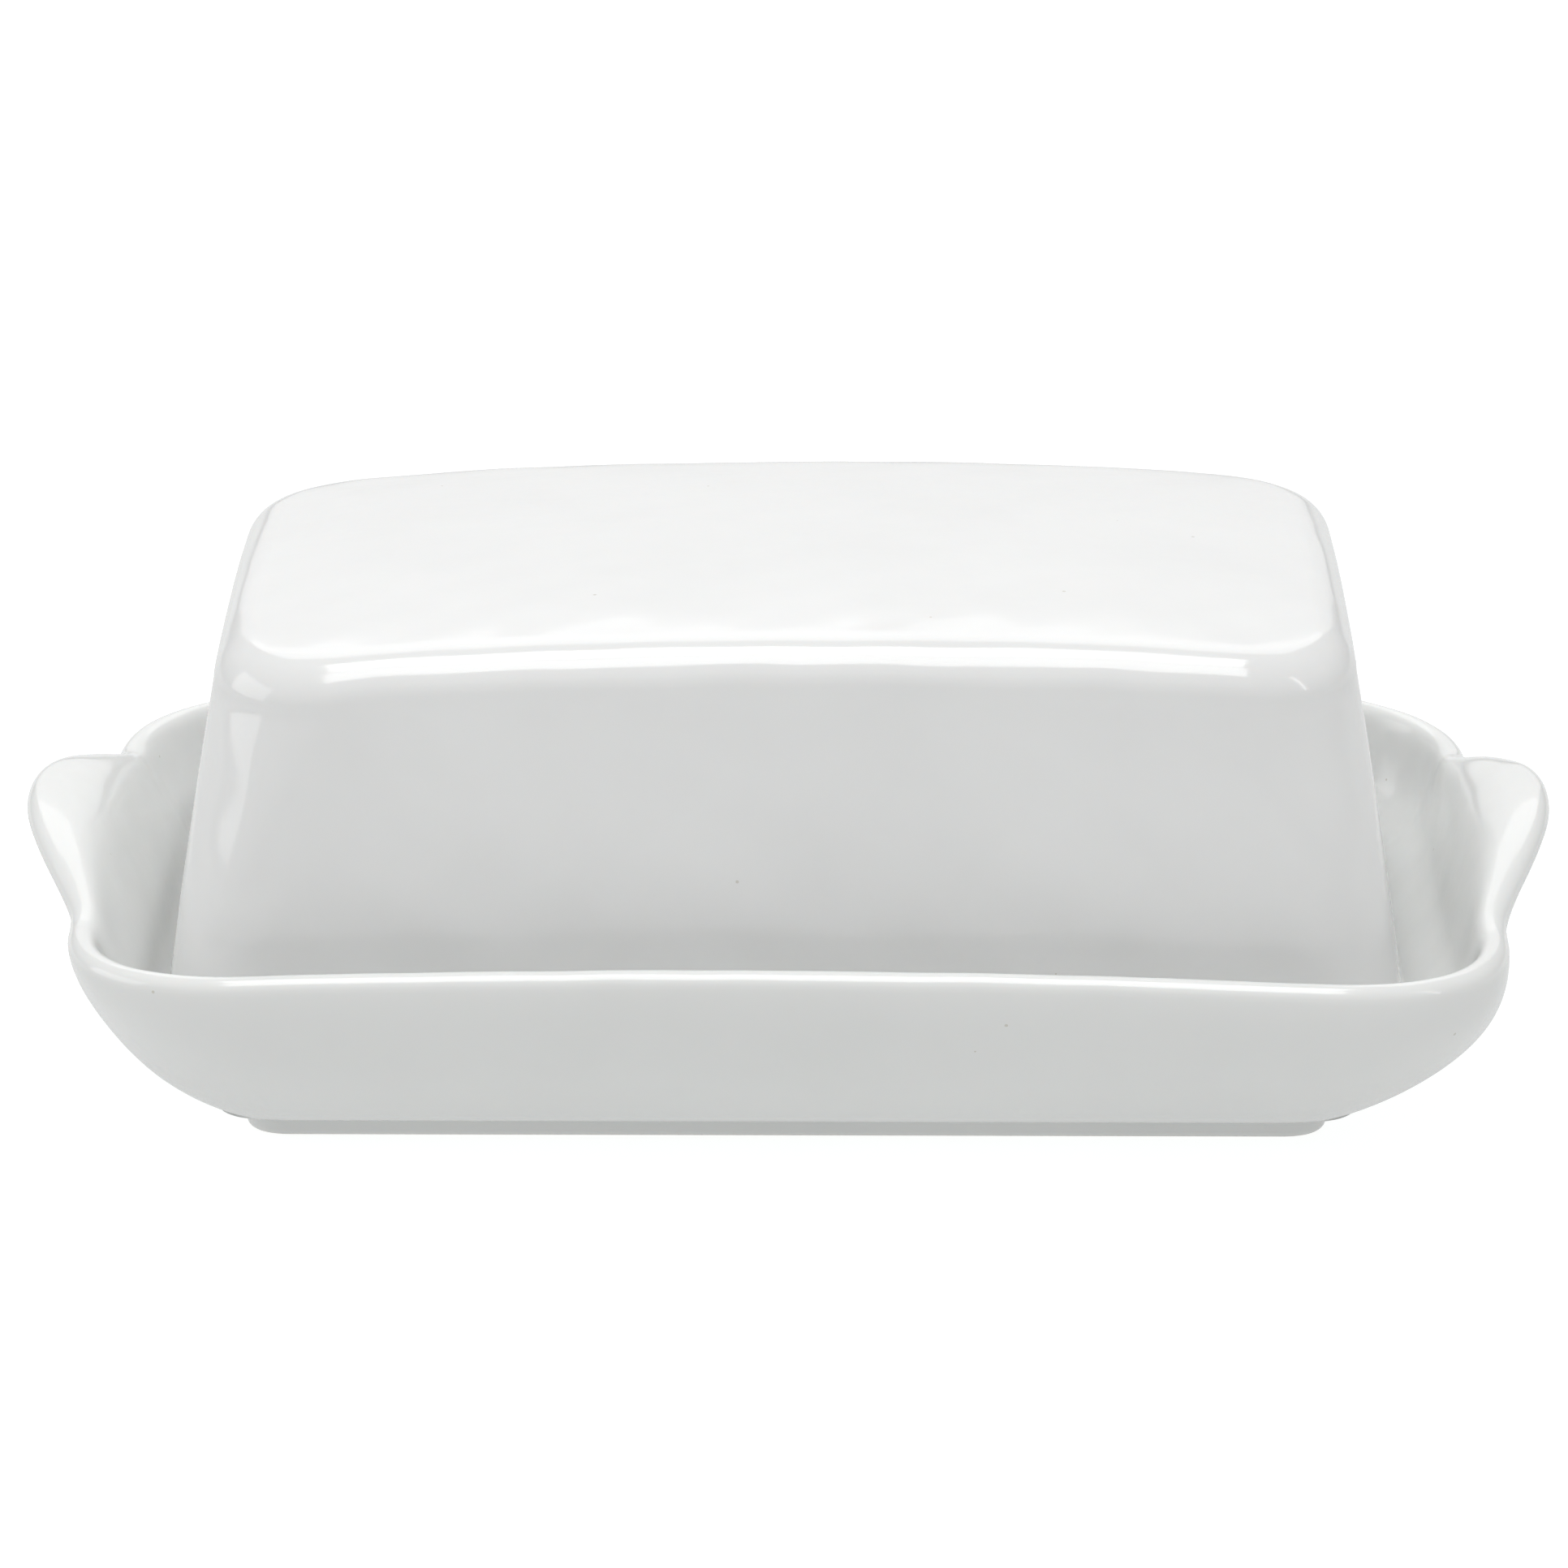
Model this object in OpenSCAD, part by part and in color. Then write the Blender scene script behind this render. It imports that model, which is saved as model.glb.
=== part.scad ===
// Butter dish: an oblong glazed dish with ear-shaped lug handles, and a loaf-shaped cover that stands on a ledge inside it.
// X runs along the length, Y across it, Z up. The origin is the middle of the foot ring, on the table.

/* [Dish] */
// Half length of the rim, without the handles
rim_a = 92; // [80:0.5:100]
// Half width of the rim
rim_b = 62; // [56:0.5:70]
// Corner radius of the rim
rim_r = 26; // [20:0.5:34]
// Height of the rim at its corners
rim_z = 27.5; // [24:0.5:34]
// Rise of the rim at the middle of the long sides
rim_arch = 2.4; // [0:0.1:4]
// Radius of the rolled edge
lip_r = 1.9; // [1.6:0.1:2.4]
// Half length of the foot ring
foot_a = 69.5; // [64:0.5:71]
// Half width of the foot ring
foot_b = 39.5; // [34:0.5:41]
// Corner radius of the foot ring
foot_r = 6; // [4:0.5:12]
// Height of the foot ring
foot_h = 3.5; // [2.6:0.1:4]

/* [Handles] */
// How far each handle stands out past the rim
ear_out = 8; // [4:0.5:12]
// How far the handle's edge rises above the rim
ear_up = 7.5; // [0:0.5:8]
// Half width of a handle at its root
ear_w = 32.5; // [28:0.5:36]

/* [Seat of the cover] */
// Height of the ledge that the cover stands on
ledge_z = 11; // [10:0.25:12]
// Height of the floor of the well
floor_z = 6.2; // [5.6:0.2:7]
// Gap between the cover's foot and the wall of the dish
seat_gap = 0.6; // [0.4:0.1:1]

/* [Cover] */
// Half length of the cover at its foot
lid_a = 79.6; // [77:0.1:80]
// Half width of the cover at its foot
lid_b = 49.8; // [48:0.1:50.2]
// Half length of the cover at its shoulder
top_a = 72.7; // [69:0.1:74]
// Half width of the cover at its shoulder
top_b = 45.3; // [42:0.1:47]
// Height of the top of the cover above the table
top_z = 69.3; // [60:0.1:75]
// Wall thickness of the cover
lid_t = 3.6; // [3:0.1:4.2]
// Radius of the shoulder
shoulder_r = 5.5; // [4:0.5:7]
// How far the top falls towards its ends
crown_x = 3.6; // [1:0.1:5]
// How far the top falls towards its long sides
crown_y = 2.5; // [0:0.1:3]

/* [Hidden] */

// one row of points: n_end + n_cor + n_side steps in each quarter
n_end = 7;
n_cor = 8;
n_side = 3;
nq = n_end + n_cor + n_side;
M = 4 * nq;
squircle = 0.88;

function clamp01(t) = min(1, max(0, t));
function smooth(t) = let (c = clamp01(t)) c * c * (3 - 2 * c);

// point k of a quarter of a rounded oblong, from the middle of the end to the middle of the side
function quarter(a, b, r, k) =
    k < n_end ? [a, k / n_end * (b - r)]
    : k < n_end + n_cor
        ? let (t = 90 * (k - n_end) / n_cor)
          [a - r + r * pow(cos(t), squircle), b - r + r * pow(max(0, sin(t)), squircle)]
        : let (s = (k - n_end - n_cor) / n_side) [(1 - s) * (a - r), b];

// point i of the whole outline, anticlockwise from the +X end
function outline_pt(a, b, r, i) =
    let (s = floor(i / nq), k = i - s * nq)
    s == 0 ? quarter(a, b, r, k)
    : s == 1 ? let (p = quarter(a, b, r, nq - k)) [-p[0], p[1]]
    : s == 2 ? let (p = quarter(a, b, r, k)) [-p[0], -p[1]]
    : let (p = quarter(a, b, r, nq - k)) [p[0], -p[1]];

// a closed skin through a list of rows that each hold M points, with a flat cap on the first and the last
module skin(rows, up = true) {
    R = len(rows);
    quads = [
        for (j = [0:R - 2]) for (i = [0:M - 1])
            let (p = j * M + i, q = j * M + (i + 1) % M, s = p + M, t = q + M)
            up ? [p, s, t, q] : [q, t, s, p]
    ];
    first = [for (i = [0:M - 1]) i];
    last = [for (i = [0:M - 1]) (R - 1) * M + M - 1 - i];
    caps = up ? [first, last]
        : [[for (i = [0:M - 1]) M - 1 - i], [for (i = [0:M - 1]) (R - 1) * M + i]];
    polyhedron(points = [for (r = rows) for (p = r) p], faces = concat(quads, caps), convexity = 6);
}

// ---- dish ----

// outline of the rim, which fixes where the handles and the arch fall in every row
rim_pts = [for (i = [0:M - 1]) outline_pt(rim_a, rim_b, rim_r, i)];
// 1 at the middle of a handle and 0 past its root: how far the edge is drawn out
ear = [for (p = rim_pts)
    abs(p[0]) > rim_a - rim_r ? pow(clamp01(1 - pow(abs(p[1]) / ear_w, 2.2)), 1.5) : 0];
// the same for how far the edge is lifted, which is flatter in the middle
lift = [for (p = rim_pts)
    abs(p[0]) > rim_a - rim_r ? pow(clamp01(1 - pow(abs(p[1]) / (ear_w + 3.6), 2.2)), 1.5) : 0];
arch = [for (p = rim_pts) clamp01(1 - pow(p[0] / rim_a, 2))];

// a row of the dish: f_out and f_up say how much of the handle's reach and lift it takes
function dish_row(a, b, r, z, f_out = 0, f_up = 0) = [
    for (i = [0:M - 1])
        let (p = outline_pt(a, b, r, i))
        [
            p[0] + sign(p[0]) * ear_out * ear[i] * f_out,
            p[1],
            z + f_up * (rim_arch * arch[i] + ear_up * lift[i])
        ]
];

lip_z = rim_z - lip_r;
// where the wall starts, on top of the foot ring
body_a = foot_a + 3.6;
body_b = foot_b + 3.6;
body_r = foot_r + 1;
wall_m = 1.34;
wall_n = 1.76;
// share of the wall's height reached at the share s of its way out
function wall_rise(s) = 1 - pow(max(0, 1 - pow(s, wall_m)), 1 / wall_n);
function wall_z(s) = foot_h + (lip_z - foot_h) * wall_rise(s);
function corner(s) = body_r + (rim_r - body_r) * pow(s, 0.55);
// how much of the handle a row takes at the share c of the wall's height
function ear_at(c) = smooth((c - 0.78) / 0.22);
function lift_at(c) = smooth(c);

// outside, from the foot ring up to the edge
n_wall = 12;
outer = [
    for (j = [0:n_wall])
        let (s = sin(90 * j / n_wall), c = wall_rise(s))
        dish_row(
            body_a + (rim_a - body_a) * s, body_b + (rim_b - body_b) * s, corner(s),
            wall_z(s), ear_at(c), lift_at(c))
];
// the rolled edge, up to its top
n_lip = 3;
lip = [
    for (j = [1:n_lip])
        let (t = 90 * j / n_lip, d = lip_r * (1 - cos(t)))
        dish_row(rim_a - d, rim_b - d, rim_r - d, lip_z + lip_r * sin(t), 1, 1)
];
// inside: one smooth sweep from the top of the edge down to the ledge, which rolls over broadly on the handles and corners
seat_a = lid_a + seat_gap;
seat_b = lid_b + seat_gap;
seat_r = 12;
edge = lip[n_lip - 1];
seat = dish_row(seat_a, seat_b, seat_r, ledge_z);
// 0 along the long sides and 1 round the ends
turn = [for (p = rim_pts) smooth((abs(p[0]) - rim_a + rim_r) / rim_r)];
function basin_pt(i, t) =
    let (p = edge[i], q = seat[i], run = norm([q[0] - p[0], q[1] - p[1]]),
         d = [(q[0] - p[0]) / run, (q[1] - p[1]) / run, 0],
         p1 = p + (2.3 + 1.2 * turn[i] + 8 * ear[i]) * d - [0, 0, 0.3 + 0.4 * ear[i]],
         q1 = q - 8.6 * d + [0, 0, 10.8],
         u = 1 - t)
    u * u * u * p + 3 * u * u * t * p1 + 3 * u * t * t * q1 + t * t * t * q;
n_in = 11;
inner = [for (j = [1:n_in]) [for (i = [0:M - 1]) basin_pt(i, j / n_in)]];
// the ledge, the well and its floor
well = [
    for (j = [0:2]) let (t = 90 * j / 2, d = 1.2 * (1 - cos(t)))
        dish_row(seat_a - 6.2 - 1.2 * sin(t), seat_b - 6.2 - 1.2 * sin(t), 7, ledge_z - d),
    for (j = [0:2]) let (t = 90 * j / 2)
        dish_row(seat_a - 8.2 - 3 * (1 - cos(t)), seat_b - 8.2 - 3 * (1 - cos(t)), 6,
            floor_z + 2.4 * (1 - sin(t)))
];
// the underside: a hollow inside the foot ring
foot_w = 3.4;
under = [
    dish_row(foot_a - foot_w - 1.4, foot_b - foot_w - 1.4, 3, foot_h - 0.7),
    dish_row(foot_a - foot_w - 0.3, foot_b - foot_w - 0.3, 3.4, foot_h - 1.1),
    dish_row(foot_a - foot_w, foot_b - foot_w, 3.6, 0),
    dish_row(foot_a, foot_b, foot_r, 0),
    dish_row(foot_a + 0.2, foot_b + 0.2, foot_r, foot_h - 0.9),
    dish_row(foot_a + 0.8, foot_b + 0.8, foot_r, foot_h - 0.25)
];

module dish() {
    color([0.95, 0.95, 0.94])
    skin(concat(under, outer, lip, inner, well));
}

// ---- cover ----

function crown(x, y) = top_z - crown_x * pow(abs(x) / top_a, 2.5) - crown_y * pow(abs(y) / top_b, 2);

// a row of the cover's wall: h is 0 at its foot and 1 at the shoulder, t is how far inside the outer face it lies
function wall_row(h, t, base) =
    let (a = lid_a - (lid_a - top_a) * pow(h, 1.25) - t,
         b = lid_b - (lid_b - top_b) * pow(h, 1.7) - t,
         r = lid_r + (top_r - lid_r) * h - t * 0.6)
    [for (i = [0:M - 1])
        let (p = outline_pt(a, b, r, i),
             q = outline_pt(top_a, top_b, top_r, i))
        [p[0], p[1], base + h * (crown(q[0], q[1]) - shoulder_r - base)]];
// a row of the top: d is how far in from the shoulder's outer edge it lies, fall how far below the crown
function top_row(d, fall, t = 0) =
    [for (i = [0:M - 1])
        let (p = outline_pt(top_a - d - t, top_b - d - t, max(0.6, top_r - d - t * 0.6), i))
        [p[0], p[1], crown(p[0], p[1]) - fall - t]];
function shrink_row(k, t = 0) =
    [for (i = [0:M - 1])
        let (d = shoulder_r, p = k * outline_pt(top_a - d - t, top_b - d - t, max(0.6, top_r - d - t * 0.6), i))
        [p[0], p[1], crown(p[0], p[1]) - t]];
// the small level patch in the middle of the top, which closes it
function patch_row(t = 0) =
    [for (i = [0:M - 1])
        let (p = 0.06 * outline_pt(top_a - shoulder_r - t, top_b - shoulder_r - t, 10, i))
        [p[0], p[1], top_z - t]];

lid_r = 10;
top_r = 16.5;
n_lw = 6;
n_sh = 4;
n_top = 3;
lid_rows = concat(
    [patch_row()],
    [for (j = [1:n_top - 1]) shrink_row((j + 0.15) / n_top)],
    [for (j = [0:n_sh - 1]) let (t = 90 * j / n_sh) top_row(shoulder_r * (1 - sin(t)), shoulder_r * (1 - cos(t)))],
    [for (j = [0:n_lw]) wall_row(1 - j / n_lw, 0, ledge_z)],
    [for (j = [0:n_lw - 1]) wall_row(j / n_lw, lid_t, ledge_z)],
    [for (j = [0:n_sh]) let (t = 90 * j / n_sh, r = shoulder_r)
        top_row(r * (1 - cos(t)), r * (1 - sin(t)), lid_t)],
    [for (j = [1:n_top - 1]) shrink_row(1 - (j - 0.15) / n_top, lid_t)],
    [patch_row(lid_t)]
);

module lid() {
    color([0.96, 0.96, 0.955])
    skin(lid_rows, false);
}

dish();
lid();
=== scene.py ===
import math

import bmesh
import bpy
import numpy as np
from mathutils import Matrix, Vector


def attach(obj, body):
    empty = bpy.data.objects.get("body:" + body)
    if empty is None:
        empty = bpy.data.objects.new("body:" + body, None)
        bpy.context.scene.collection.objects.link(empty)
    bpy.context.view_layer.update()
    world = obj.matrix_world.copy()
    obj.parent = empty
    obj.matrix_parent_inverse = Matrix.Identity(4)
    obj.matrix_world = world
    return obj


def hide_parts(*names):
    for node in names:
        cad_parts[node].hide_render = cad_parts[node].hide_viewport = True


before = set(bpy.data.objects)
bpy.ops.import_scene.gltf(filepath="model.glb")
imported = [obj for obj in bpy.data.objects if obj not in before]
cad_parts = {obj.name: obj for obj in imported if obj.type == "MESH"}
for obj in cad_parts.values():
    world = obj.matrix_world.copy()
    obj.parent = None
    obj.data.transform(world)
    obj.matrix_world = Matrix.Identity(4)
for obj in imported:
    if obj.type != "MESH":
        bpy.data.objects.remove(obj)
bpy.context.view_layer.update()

MM = 0.001
scene = bpy.context.scene
scene.view_settings.view_transform = "Standard"
scene.view_settings.look = "None"
scene.view_settings.exposure = 0.0

# ---------------------------------------------------------------- camera
CAM_DISTANCE = 1042.9
CAM_ELEVATION = 18.18
CAM_AZIMUTH = 0.42
CAM_TARGET = (-0.52, 0.0, 34.7)
FOCAL_PX = 9759.0


def turned(x, y, z, angle):
    c, s = math.cos(math.radians(angle)), math.sin(math.radians(angle))
    return Vector((x * c - y * s, x * s + y * c, z))


cam_data = bpy.data.cameras.new("photo_view")
cam = bpy.data.objects.new("photo_view", cam_data)
scene.collection.objects.link(cam)
elevation = math.radians(CAM_ELEVATION)
target = turned(*CAM_TARGET, CAM_AZIMUTH) * MM
cam.location = target + turned(0, -CAM_DISTANCE * math.cos(elevation), CAM_DISTANCE * math.sin(elevation), CAM_AZIMUTH) * MM
cam.rotation_euler = (target - cam.location).to_track_quat("-Z", "Y").to_euler()
cam_data.sensor_width = 36.0
cam_data.lens = 36.0 * FOCAL_PX / 1932.0
cam_data.clip_start = 0.05
cam_data.clip_end = 30.0
scene.camera = cam

# ---------------------------------------------------------------- the shapes, in millimetres
RIM_A, RIM_B, RIM_R, RIM_Z, ARCH, LIP = 91.9, 62.0, 26.2, 27.5, 2.42, 1.9
FOOT_A, FOOT_B, FOOT_R, FOOT_H, FOOT_W, BODY_OUT = 69.5, 39.5, 6.0, 3.55, 3.4, 3.62
EAR_OUT, EAR_UP, EAR_W, LIFT_W = 8.1, 7.47, 32.46, 36.1
WALL_M, WALL_N, WALL_G = 1.339, 1.762, 0.532
LEDGE, FLOOR, SEAT_A, SEAT_B, SEAT_R = 11.0, 6.2, 80.2, 50.4, 12.0
LID_A, LID_B, LID_R, TOP_A, TOP_B, TOP_R, TOP_Z = 79.5, 49.8, 10.2, 72.7, 45.27, 16.7, 69.3
LID_T, SHOULDER, CROWN_X, CROWN_Y, CROWN_N = 3.6, 5.46, 3.64, 2.5, 2.49
Q_DISH, Q_LID = 0.875, 0.937
N_END, N_COR, N_SIDE = 26, 26, 30


def rise(t):
    t = np.clip(t, 0, 1)
    return t * t * (3 - 2 * t)


def outline(a, b, r, q):
    """A rounded oblong's points, anticlockwise from the middle of its +X end."""
    s = np.arange(N_END) / N_END
    t = np.radians(90 * np.arange(N_COR) / N_COR)
    w = np.arange(N_SIDE + 1) / N_SIDE
    x = np.concatenate([np.full(N_END, a), a - r + r * np.cos(t) ** q, (1 - w) * (a - r)])
    y = np.concatenate([s * (b - r), b - r + r * np.sin(t) ** q, np.full(N_SIDE + 1, b)])
    return (
        np.concatenate([x, -x[::-1][1:], -x[1:], x[::-1][1:-1]]),
        np.concatenate([y, y[::-1][1:], -y[1:], -y[::-1][1:-1]]),
    )


RIM_X, RIM_Y = outline(RIM_A, RIM_B, RIM_R, Q_DISH)
AT_END = np.abs(RIM_X) > RIM_A - RIM_R
EAR = np.where(AT_END, np.clip(1 - (np.abs(RIM_Y) / EAR_W) ** 2.17, 0, 1) ** 1.5, 0)
LIFT = np.where(AT_END, np.clip(1 - (np.abs(RIM_Y) / LIFT_W) ** 2.19, 0, 1) ** 1.5, 0)
ARC = np.clip(1 - (RIM_X / RIM_A) ** 2, 0, 1)


def dish_row(a, b, r, z, f_out=0.0, f_up=0.0, f_arc=None):
    x, y = outline(a, b, r, Q_DISH)
    return np.stack([
        x + np.sign(x) * EAR_OUT * EAR * f_out,
        y,
        z + ARCH * ARC * (f_up if f_arc is None else f_arc) + EAR_UP * LIFT * f_up,
    ], 1)


LIP_Z = RIM_Z - LIP
BODY_A, BODY_B, BODY_R = FOOT_A + BODY_OUT, FOOT_B + BODY_OUT, FOOT_R + 1


def wall_rise(s):
    return 1 - max(0.0, 1 - s ** WALL_M) ** (1 / WALL_N)


def wall_z(s):
    return FOOT_H + (LIP_Z - FOOT_H) * wall_rise(s)


def corner(s):
    return BODY_R + (RIM_R - BODY_R) * s ** WALL_G


def dish_rows():
    """Every row of the dish, from the middle of its underside, round the edge, to the middle of its floor, with the material of each."""
    rows, bare = [], []

    def add(row, m=0):
        rows.append(row)
        bare.append(m)

    inner = FOOT_A - FOOT_W, FOOT_B - FOOT_W
    for k in (0.02, 0.25, 0.5, 0.75, 0.92):
        x, y = outline(inner[0] - 2.2, inner[1] - 2.2, 3.0, Q_DISH)
        add(np.stack([x * k, y * k, np.full(len(x), FOOT_H - 0.7)], 1))
    # the hollow under the dish runs into the foot ring on a small fillet
    for j in range(7):
        t = math.radians(15 * j)
        d = 2.2 - 1.9 * math.sin(t)
        add(dish_row(inner[0] - d, inner[1] - d, 3.2, FOOT_H - 0.7 - 1.5 * (1 - math.cos(t))))
    add(dish_row(inner[0] - 0.1, inner[1] - 0.1, 3.5, 0.75), 0)
    # the bare ring that stands on the table
    for j in range(1, 7):
        t = math.radians(15 * j)
        d = 0.75 * (1 - math.cos(t))
        add(dish_row(inner[0] + d, inner[1] + d, 3.6, 0.75 * (1 - math.sin(t))), 1 if j > 2 else 0)
    add(dish_row(FOOT_A - 1.7, FOOT_B - 1.7, 4.6, 0.0), 1)
    for j in range(7):
        t = math.radians(15 * j)
        d = 0.75 * (1 - math.sin(t))
        add(dish_row(FOOT_A - d, FOOT_B - d, FOOT_R - d, 0.75 * (1 - math.cos(t))), 1 if j < 4 else 0)
    add(dish_row(FOOT_A + 0.05, FOOT_B + 0.05, FOOT_R, FOOT_H - 1.5))
    # the glazed fillet between the foot and the wall
    for j in range(1, 7):
        t = math.radians(15 * j)
        d = 1.6 * (1 - math.cos(t))
        add(dish_row(FOOT_A + 0.1 + d, FOOT_B + 0.1 + d, FOOT_R + 0.3 * math.sin(t), FOOT_H - 1.35 + 1.15 * math.sin(t)))
    n = 44
    for j in range(n + 1):
        s = math.sin(math.pi / 2 * j / n)
        c = wall_rise(s)
        add(dish_row(
            BODY_A + (RIM_A - BODY_A) * s, BODY_B + (RIM_B - BODY_B) * s, corner(max(s, 1e-4)),
            wall_z(s), float(rise((c - 0.78) / 0.22)), float(rise(c))))
    n = 10
    for j in range(1, n + 1):
        t = math.pi / 2 * j / n
        d = LIP * (1 - math.cos(t))
        add(dish_row(RIM_A - d, RIM_B - d, RIM_R - d, LIP_Z + LIP * math.sin(t), 1, 1))
    outside = len(rows)
    # inside: one smooth sweep from the top of the edge down to the ledge, rolling over broadly on the handles and corners
    p, q = rows[-1], dish_row(SEAT_A, SEAT_B, SEAT_R, LEDGE)
    d = q - p
    d[:, 2] = 0
    d /= np.linalg.norm(d, axis=1)[:, None]
    turn = rise((np.abs(RIM_X) - RIM_A + RIM_R) / RIM_R)
    up = np.array([[0.0, 0.0, 1.0]])
    p1 = p + d * (2.3 + 1.2 * turn + 8.0 * EAR)[:, None] - up * (0.3 + 0.4 * EAR)[:, None]
    q1 = q - 8.6 * d + 10.8 * up
    n = 40
    for j in range(1, n + 1):
        t = j / n
        t = t ** 1.15
        u = 1 - t
        add(u ** 3 * p + 3 * u * u * t * p1 + 3 * u * t * t * q1 + t ** 3 * q)
    # the ledge, its rounded edge, the well and the floor
    add(dish_row(SEAT_A - 3.0, SEAT_B - 3.0, 9.5, LEDGE - 0.02))
    for j in range(8):
        t = math.radians(90 * j / 7)
        add(dish_row(SEAT_A - 6.2 - 1.2 * math.sin(t), SEAT_B - 6.2 - 1.2 * math.sin(t), 7.0, LEDGE - 0.02 - 1.2 * (1 - math.cos(t))))
    for j in range(8):
        t = math.radians(90 * j / 7)
        d = 8.2 + 3 * (1 - math.cos(t))
        add(dish_row(SEAT_A - d, SEAT_B - d, 6.0, FLOOR + 2.4 * (1 - math.sin(t))))
    x, y = outline(SEAT_A - 11.2, SEAT_B - 11.2, 6.0, Q_DISH)
    for k in (0.97, 0.8, 0.6, 0.4, 0.2, 0.02):
        add(np.stack([x * k, y * k, np.full(len(x), FLOOR)], 1))
    return rows, bare, outside


def crown(x, y):
    return TOP_Z - CROWN_X * (np.abs(x) / TOP_A) ** CROWN_N - CROWN_Y * (np.abs(y) / TOP_B) ** 2


def lid_wall(h, t):
    a = LID_A - (LID_A - TOP_A) * h ** 1.23 - t
    b = LID_B - (LID_B - TOP_B) * h ** 1.7 - t
    x, y = outline(a, b, LID_R + (TOP_R - LID_R) * h - 0.6 * t, Q_LID)
    u, v = outline(TOP_A, TOP_B, TOP_R, Q_LID)
    return np.stack([x, y, LEDGE + h * (crown(u, v) - SHOULDER - LEDGE)], 1)


def lid_top(d, fall, t):
    b = TOP_B - d - t
    x, y = outline(TOP_A - d - t, b, min(0.98 * b, max(3.0, TOP_R - d - 0.6 * t)), Q_LID)
    return np.stack([x, y, crown(x, y) - fall - t], 1)


def lid_rows():
    """Every row of the cover, from the middle of its top, down outside, round its foot, to the middle of its ceiling."""
    rows, bare = [], []

    def add(row, m=0):
        rows.append(row)
        bare.append(m)

    n = 20
    for j in range(n):
        add(lid_top(SHOULDER + (TOP_B - SHOULDER - 0.4) * (1 - j / n), 0, 0))
    n = 14
    for j in range(n + 1):
        t = math.pi / 2 * j / n
        add(lid_top(SHOULDER * (1 - math.sin(t)), SHOULDER * (1 - math.cos(t)), 0))
    n = 34
    foot_h = 1.0 / 50
    for j in range(1, n):
        add(lid_wall(1 - (1 - foot_h) * j / n, 0.0))
    # the rounded foot, bare where it stands on the ledge
    for j in range(9):
        t = math.radians(90 * j / 8)
        d = 0.9 * (1 - math.cos(t))
        row = lid_wall(0.0, d)
        row[:, 2] = LEDGE + 0.03 + 0.9 * (1 - math.sin(t))
        add(row, 1 if j > 4 else 0)
    for j in range(9):
        t = math.radians(90 * j / 8)
        d = LID_T - 0.9 * (1 - math.sin(t))
        row = lid_wall(0.0, d)
        row[:, 2] = LEDGE + 0.03 + 0.9 * (1 - math.cos(t))
        add(row, 1 if j < 4 else 0)
    n = 22
    for j in range(n):
        add(lid_wall(foot_h + (1 - foot_h) * (j + 0.5) / n, LID_T))
    n = 12
    for j in range(n + 1):
        t = math.pi / 2 * j / n
        add(lid_top(SHOULDER * (1 - math.cos(t)), SHOULDER * (1 - math.sin(t)), LID_T))
    n = 14
    for j in range(1, n + 1):
        add(lid_top(SHOULDER + (TOP_B - LID_T - SHOULDER - 0.4) * j / n, 0, LID_T))
    return rows, bare


def unevenness(x, y, z, seed):
    """A slow wander in a surface of fired clay, in millimetres, from a few fixed waves."""
    out = np.zeros_like(x)
    for i, (p, q, w, a) in enumerate((
        (0.021, 0.034, 0.050, 0.060), (0.047, -0.028, 0.071, 0.045),
        (-0.066, 0.081, 0.037, 0.028), (0.110, 0.055, -0.090, 0.016),
    )):
        out += a * np.sin(2 * math.pi * (p * x + q * y + w * z) + seed + 1.7 * i)
    return out


def settle_dish(v, inside):
    """The dish as it came from the kiln: its lower wall stands a little to the +X side, and its front edge droops there."""
    x, y, z = v[:, 0].copy(), v[:, 1].copy(), v[:, 2].copy()
    grow = np.clip((z - 0.0) / 5.0, 0, 1)
    out = v.copy()
    lean = 1.33 * np.exp(-((z - 15.7) / 8.29) ** 2) * grow
    lean = np.where(inside, lean * rise((z - 12.0) / 7.0), lean)
    out[:, 0] = x + lean
    out[:, 2] = z - 0.005 * x * np.clip(-y / 60, 0, 1) * rise((z - 13.0) / 12.0)
    w = unevenness(x, y, z, 0.4) * rise((z - 4.0) / 8.0) * np.where(inside, rise((z - 13.0) / 5.0), 1.0)
    out[:, 2] += 0.6 * w
    out[:, 1] += np.sign(y) * w * 0.5
    return out


def settle_lid(v, inside):
    """The cover's top isn't quite level along its length."""
    x, y, z = v[:, 0].copy(), v[:, 1].copy(), v[:, 2].copy()
    up = rise((z - 11.5) / 14.0)
    out = v.copy()
    out[:, 0] = x - 0.19 * up
    out[:, 2] = z + 0.008 * x * up
    w = unevenness(x, y, z, 2.1) * rise((z - 13.0) / 10.0)
    out[:, 2] += 0.35 * w
    out[:, 1] += np.sign(y) * np.clip(np.abs(y) / 20, 0, 1) * w * 0.7
    return out


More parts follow.
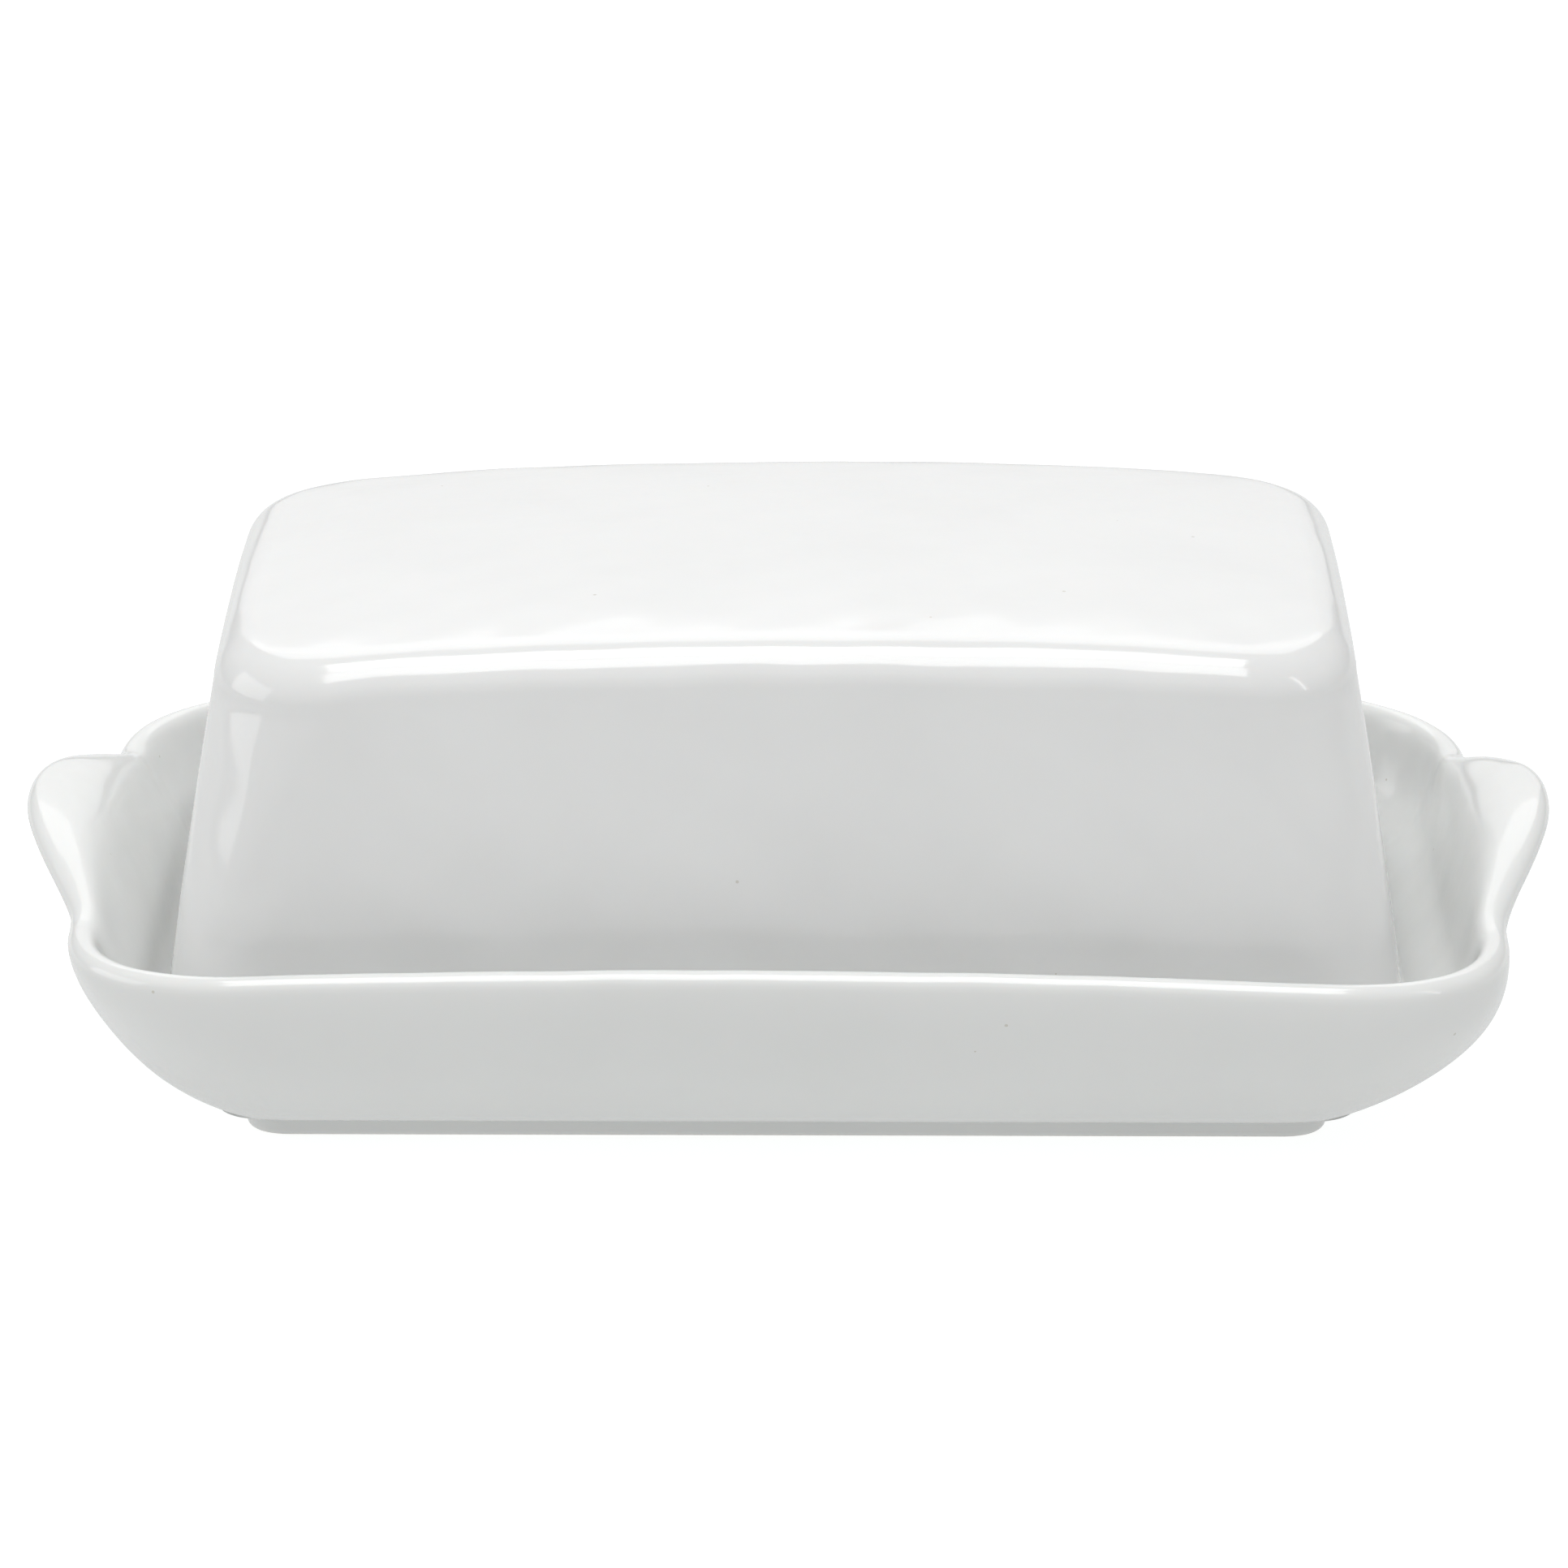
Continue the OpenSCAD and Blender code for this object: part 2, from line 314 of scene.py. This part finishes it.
def skin(name, rows, bare, outside, flip, settle):
    """One closed mesh through the rows, with a quad between each pair of points."""
    count, width = len(rows), len(rows[0])
    flat = np.concatenate(rows)
    flat = settle(flat, np.repeat(np.arange(count) >= outside, width))
    mesh = bpy.data.meshes.new(name)
    bm = bmesh.new()
    verts = [bm.verts.new((float(p[0]) * MM, float(p[1]) * MM, float(p[2]) * MM)) for p in flat]
    for j in range(count - 1):
        for i in range(width):
            k = (i + 1) % width
            quad = [verts[j * width + i], verts[j * width + k], verts[(j + 1) * width + k], verts[(j + 1) * width + i]]
            if flip:
                quad.reverse()
            face = bm.faces.new(quad)
            face.smooth = True
            face.material_index = 1 if bare[j] and bare[j + 1] else 0
    # the two middles close on strips, so that no face has more than four sides
    for j, turn in ((0, True), (count - 1, False)):
        ring = [verts[j * width + i] for i in range(width)]
        for i in range(width // 2 - 1):
            quad = [ring[i], ring[i + 1], ring[width - 2 - i], ring[width - 1 - i]]
            if len(set(quad)) < 4:
                quad = list(dict.fromkeys(quad))
            if len(quad) < 3:
                continue
            if turn != flip:
                quad.reverse()
            face = bm.faces.new(quad)
            face.smooth = True
    bmesh.ops.recalc_face_normals(bm, faces=bm.faces)
    bm.to_mesh(mesh)
    bm.free()
    mesh.update()
    ob = bpy.data.objects.new(name, mesh)
    scene.collection.objects.link(ob)
    return ob


# ---------------------------------------------------------------- materials
def node(tree, kind, x=0, y=0, **values):
    n = tree.nodes.new(kind)
    n.location = (x, y)
    for k, v in values.items():
        setattr(n, k, v)
    return n


def porcelain(name, tone, seed):
    """White glazed porcelain: a bright body under a clear glaze that is never quite level, with faint clouds in its tone and a few pinholes."""
    m = bpy.data.materials.new(name)
    m.use_nodes = True
    t = m.node_tree
    t.nodes.clear()
    out = node(t, "ShaderNodeOutputMaterial", 900)
    b = node(t, "ShaderNodeBsdfPrincipled", 600)
    t.links.new(b.outputs[0], out.inputs[0])
    at = node(t, "ShaderNodeTexCoord", -1400)
    move = node(t, "ShaderNodeMapping", -1200)
    move.inputs["Location"].default_value = (seed, seed * 0.37, -seed * 0.61)
    t.links.new(at.outputs["Object"], move.inputs[0])

    def noise(scale, detail, rough, y):
        n = node(t, "ShaderNodeTexNoise", -950, y)
        n.inputs["Scale"].default_value = scale
        n.inputs["Detail"].default_value = detail
        n.inputs["Roughness"].default_value = rough
        t.links.new(move.outputs[0], n.inputs["Vector"])
        return n

    def ramp(source, stops, y, x=-700):
        r = node(t, "ShaderNodeValToRGB", x, y)
        r.color_ramp.elements[0].position, r.color_ramp.elements[0].color = stops[0][0], (*stops[0][1], 1)
        r.color_ramp.elements[1].position, r.color_ramp.elements[1].color = stops[-1][0], (*stops[-1][1], 1)
        for p, c in stops[1:-1]:
            r.color_ramp.elements.new(p).color = (*c, 1)
        t.links.new(source, r.inputs[0])
        return r

    clouds = noise(34.0, 3.0, 0.55, 500)
    body = ramp(clouds.outputs[0], (
        (0.30, tuple(c * 0.978 for c in tone)), (0.52, tone), (0.72, tuple(min(1.0, c * 1.012) for c in tone))), 500)
    # pinholes: tiny, far apart, and a touch warmer than the glaze
    cells = node(t, "ShaderNodeTexVoronoi", -950, 200, feature="F1")
    cells.inputs["Scale"].default_value = 95.0
    t.links.new(move.outputs[0], cells.inputs["Vector"])
    spot = node(t, "ShaderNodeMath", -700, 200, operation="LESS_THAN")
    spot.inputs[1].default_value = 0.022
    t.links.new(cells.outputs["Distance"], spot.inputs[0])
    mix = node(t, "ShaderNodeMix", -350, 400, data_type="RGBA")
    mix.inputs[7].default_value = (tone[0] * 0.80, tone[1] * 0.77, tone[2] * 0.72, 1)
    t.links.new(spot.outputs[0], mix.inputs[0])
    t.links.new(body.outputs[0], mix.inputs[6])
    t.links.new(mix.outputs[2], b.inputs["Base Color"])
    # the glaze's own gloss: nearly even, a little softer where it is thin
    film = noise(60.0, 4.0, 0.6, -50)
    gloss = node(t, "ShaderNodeMapRange", -700, -50)
    gloss.inputs["From Min"].default_value = 0.3
    gloss.inputs["From Max"].default_value = 0.7
    gloss.inputs["To Min"].default_value = 0.10
    gloss.inputs["To Max"].default_value = 0.17
    t.links.new(film.outputs[0], gloss.inputs[0])
    t.links.new(gloss.outputs[0], b.inputs["Roughness"])
    # the way glaze settles: long low waves, and under them a fine orange-peel
    wave = noise(55.0, 1.5, 0.4, -300)
    peel = noise(620.0, 2.0, 0.5, -550)
    low = node(t, "ShaderNodeBump", 100, -300)
    low.inputs["Strength"].default_value = 0.35
    low.inputs["Distance"].default_value = 0.0006
    t.links.new(wave.outputs[0], low.inputs["Height"])
    fine = node(t, "ShaderNodeBump", 320, -450)
    fine.inputs["Strength"].default_value = 0.16
    fine.inputs["Distance"].default_value = 0.00004
    t.links.new(peel.outputs[0], fine.inputs["Height"])
    t.links.new(low.outputs[0], fine.inputs["Normal"])
    t.links.new(fine.outputs[0], b.inputs["Normal"])
    b.inputs["IOR"].default_value = 1.52
    b.inputs["Metallic"].default_value = 0.0
    b.inputs["Subsurface Weight"].default_value = 0.12
    b.inputs["Subsurface Radius"].default_value = (0.0022, 0.0017, 0.0013)
    b.inputs["Subsurface Scale"].default_value = 1.0
    b.inputs["Coat Weight"].default_value = 0.35
    b.inputs["Coat Roughness"].default_value = 0.05
    b.inputs["Coat IOR"].default_value = 1.5
    return m


def bisque(name):
    """The bare fired clay where the piece stood in the kiln: matt, a little warm, with a fine grit."""
    m = bpy.data.materials.new(name)
    m.use_nodes = True
    t = m.node_tree
    t.nodes.clear()
    out = node(t, "ShaderNodeOutputMaterial", 700)
    b = node(t, "ShaderNodeBsdfPrincipled", 400)
    t.links.new(b.outputs[0], out.inputs[0])
    at = node(t, "ShaderNodeTexCoord", -900)
    grit = node(t, "ShaderNodeTexNoise", -650, 0)
    grit.inputs["Scale"].default_value = 1500.0
    grit.inputs["Detail"].default_value = 3.0
    t.links.new(at.outputs["Object"], grit.inputs["Vector"])
    tone = node(t, "ShaderNodeValToRGB", -350, 200)
    tone.color_ramp.elements[0].position, tone.color_ramp.elements[0].color = 0.35, (0.66, 0.63, 0.58, 1)
    tone.color_ramp.elements[1].position, tone.color_ramp.elements[1].color = 0.65, (0.78, 0.76, 0.71, 1)
    t.links.new(grit.outputs[0], tone.inputs[0])
    t.links.new(tone.outputs[0], b.inputs["Base Color"])
    rough = node(t, "ShaderNodeMapRange", -350, -50)
    rough.inputs["To Min"].default_value = 0.7
    rough.inputs["To Max"].default_value = 0.95
    t.links.new(grit.outputs[0], rough.inputs[0])
    t.links.new(rough.outputs[0], b.inputs["Roughness"])
    bump = node(t, "ShaderNodeBump", 100, -250)
    bump.inputs["Strength"].default_value = 0.5
    bump.inputs["Distance"].default_value = 0.00008
    t.links.new(grit.outputs[0], bump.inputs["Height"])
    t.links.new(bump.outputs[0], b.inputs["Normal"])
    return m


# ---------------------------------------------------------------- pieces
rows, bare, outside = dish_rows()
dish = skin("dish_body", rows, bare, outside, True, settle_dish)
rows, bare = lid_rows()
cover = skin("lid_cover", rows, bare, len(rows), False, settle_lid)

dish.data.materials.append(porcelain("dish_glaze", (0.83, 0.84, 0.83), 0.31))
dish.data.materials.append(bisque("dish_bare_foot"))
cover.data.materials.append(porcelain("lid_glaze", (0.84, 0.845, 0.84), 1.27))
cover.data.materials.append(bisque("lid_bare_foot"))

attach(dish, "dish")
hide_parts("dish")
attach(cover, "lid")
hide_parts("lid")

# ---------------------------------------------------------------- floor
floor_mesh = bpy.data.meshes.new("floor")
bm = bmesh.new()
bmesh.ops.create_circle(bm, cap_ends=True, cap_tris=False, segments=96, radius=6.0)
bm.to_mesh(floor_mesh)
bm.free()
floor = bpy.data.objects.new("floor", floor_mesh)
scene.collection.objects.link(floor)
fm = bpy.data.materials.new("floor_paper")
fm.use_nodes = True
ft = fm.node_tree
fb = ft.nodes["Principled BSDF"]
fb.inputs["Roughness"].default_value = 0.9
fb.inputs["Specular IOR Level"].default_value = 0.1
fn = node(ft, "ShaderNodeTexNoise", -500, 0)
fn.inputs["Scale"].default_value = 3.0
fr = node(ft, "ShaderNodeValToRGB", -300, 0)
fr.color_ramp.elements[0].color = (0.29, 0.29, 0.29, 1)
fr.color_ramp.elements[1].color = (0.31, 0.31, 0.31, 1)
ft.links.new(fn.outputs[0], fr.inputs[0])
ft.links.new(fr.outputs[0], fb.inputs["Base Color"])
# a lit table top, as in a light tent: it fills the shadows from below
fb.inputs["Emission Color"].default_value = (0.985, 1.0, 0.995, 1)
fb.inputs["Emission Strength"].default_value = 0.50
# it looks paper white, and lights the object a little less than that
fw = ft.nodes.new("ShaderNodeBsdfPrincipled")
fw.inputs["Roughness"].default_value = 0.9
fw.inputs["Specular IOR Level"].default_value = 0.1
fw.inputs["Emission Color"].default_value = (0.985, 1.0, 0.995, 1)
fw.inputs["Emission Strength"].default_value = 0.86
ft.links.new(fr.outputs[0], fw.inputs["Base Color"])
f_path = ft.nodes.new("ShaderNodeLightPath")
f_mix = ft.nodes.new("ShaderNodeMixShader")
ft.links.new(f_path.outputs["Is Camera Ray"], f_mix.inputs[0])
ft.links.new(fb.outputs[0], f_mix.inputs[1])
ft.links.new(fw.outputs[0], f_mix.inputs[2])
ft.links.new(f_mix.outputs[0], ft.nodes["Material Output"].inputs[0])
floor.data.materials.append(fm)
floor.location.z = -0.0002

# ---------------------------------------------------------------- light
world = bpy.data.worlds.new("studio")
scene.world = world
world.use_nodes = True
wt = world.node_tree
wt.nodes.clear()
w_out = node(wt, "ShaderNodeOutputWorld", 900)
w_mix = node(wt, "ShaderNodeMixShader", 700)
w_path = node(wt, "ShaderNodeLightPath", 400, 300)
w_seen = node(wt, "ShaderNodeBackground", 400, 0)
w_seen.inputs[0].default_value = (1, 1, 1, 1)
w_seen.inputs[1].default_value = 1.0
w_room = node(wt, "ShaderNodeBackground", 400, -200)
w_room.inputs[0].default_value = (1, 1, 1, 1)
w_room.inputs[1].default_value = 0.41
wt.links.new(w_path.outputs["Is Camera Ray"], w_mix.inputs[0])
wt.links.new(w_room.outputs[0], w_mix.inputs[1])
wt.links.new(w_seen.outputs[0], w_mix.inputs[2])
wt.links.new(w_mix.outputs[0], w_out.inputs[0])


def panel(name, azimuth, height, size_x, size_y, watts, away=1.6):
    """A soft panel that looks at the object. Azimuth 0 is the camera's side and 90 is +X; height is its angle above the table."""
    data = bpy.data.lights.new(name, "AREA")
    data.shape = "RECTANGLE"
    data.size, data.size_y = size_x, size_y
    data.energy = watts
    ob = bpy.data.objects.new(name, data)
    scene.collection.objects.link(ob)
    a, e = math.radians(azimuth), math.radians(height)
    ob.location = (away * math.sin(a) * math.cos(e), -away * math.cos(a) * math.cos(e), 0.03 + away * math.sin(e))
    ob.rotation_euler = (Vector((0, 0, 0.03)) - ob.location).to_track_quat("-Z", "Y").to_euler()
    ob.visible_camera = False
    return ob


panel("top", 0, 90, 0.9, 0.7, 7.8)
panel("top_front", 0, 66, 1.0, 0.6, 6.8)
panel("back", 180, 42, 1.2, 0.75, 2.9)
panel("back_low", 180, 16, 1.3, 0.75, 1.4)
panel("left_low", 270, 16, 1.3, 0.75, 3.6)
panel("front", 0, 42, 1.2, 0.75, 0.7)
panel("right_strip", 70, 28, 0.10, 0.8, 0.8, 1.5)
